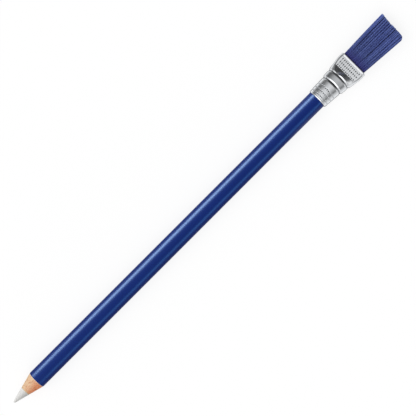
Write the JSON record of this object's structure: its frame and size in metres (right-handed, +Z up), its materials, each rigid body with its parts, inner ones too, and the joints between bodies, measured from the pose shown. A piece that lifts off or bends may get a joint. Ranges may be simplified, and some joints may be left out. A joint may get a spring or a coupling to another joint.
{
  "type": "eraser pencil with brush",
  "caption": "Wood-cased eraser pencil, sharpened at one end, with a crimped metal ferrule and a flat fan brush at the other for sweeping away crumbs.",
  "frame": {"origin": "on the pencil's axis, at the middle of the painted length that shows", "axes": "+X along the pencil towards the brush, +Y across the wide side of the brush, +Z up out of its flat face as it lies on a table"},
  "size_m": [0.2088, 0.0131, 0.0084],
  "materials": {
    "eraser": "matte off-white vinyl eraser compound",
    "glue": "dried pale wood glue",
    "casing_wood": "bare sharpened cedar, straight grain along the pencil",
    "undercoat": "matte pale primer",
    "lacquer": "glossy dark blue lacquer, smooth, with a clear shine",
    "ferrule_metal": "bright drawn aluminium, rolled, crimped and knurled",
    "resin": "cured amber resin",
    "bristle_nylon": "satin dark blue nylon filament"
  },
  "bodies": {
    "root": {"eraser_core": "eraser", "glue_film": "glue", "slat_upper": "casing_wood", "slat_lower": "casing_wood", "undercoat": "undercoat", "lacquer_coat": "lacquer", "ferrule": "ferrule_metal", "root_resin": "resin", "bristle_tuft": "bristle_nylon"}
  },
  "joints": []
}
